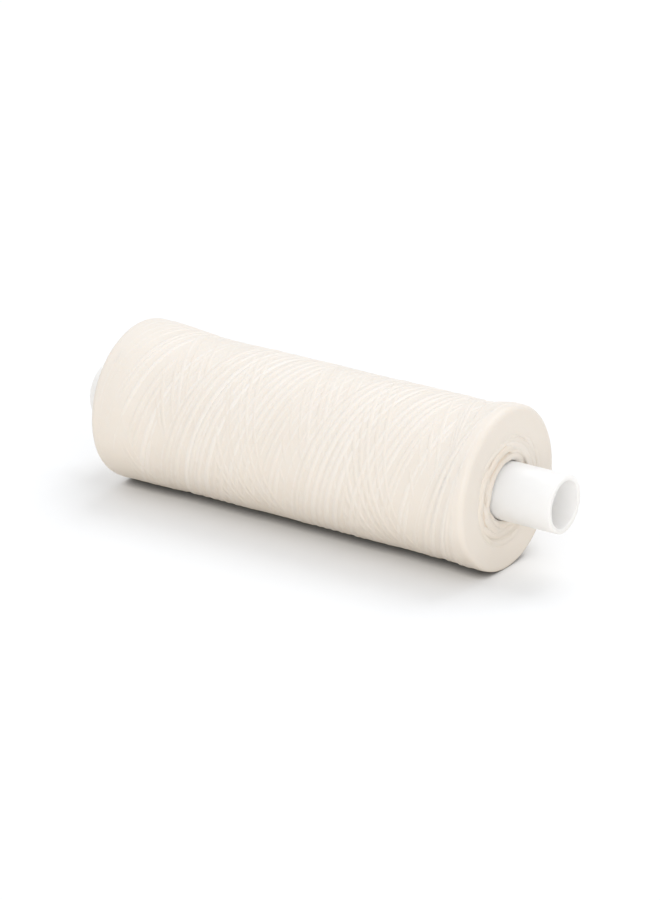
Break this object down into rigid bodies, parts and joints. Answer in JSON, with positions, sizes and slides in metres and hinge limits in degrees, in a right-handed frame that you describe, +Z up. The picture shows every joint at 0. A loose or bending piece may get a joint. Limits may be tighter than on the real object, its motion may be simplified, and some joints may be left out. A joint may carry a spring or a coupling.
{
  "type": "waxed thread spool",
  "caption": "Cream waxed thread cross-wound on a plain white plastic core tube that stands out at both ends.",
  "frame": {"origin": "on the tube's axis, midway along the core tube", "axes": "+X along the tube towards its long bare end, +Z up from the flat that the rims rest on"},
  "size_m": [0.078, 0.024, 0.0235],
  "materials": {
    "tube_plastic": "smooth white extruded plastic, slightly glossy",
    "waxed_thread": "cream polyester thread with a soft wax sheen"
  },
  "bodies": {
    "root": {"core_tube": "tube_plastic", "inner_winding": "waxed_thread", "outer_winding": "waxed_thread", "long_end_turns": "waxed_thread", "short_end_turns": "waxed_thread"}
  },
  "joints": []
}
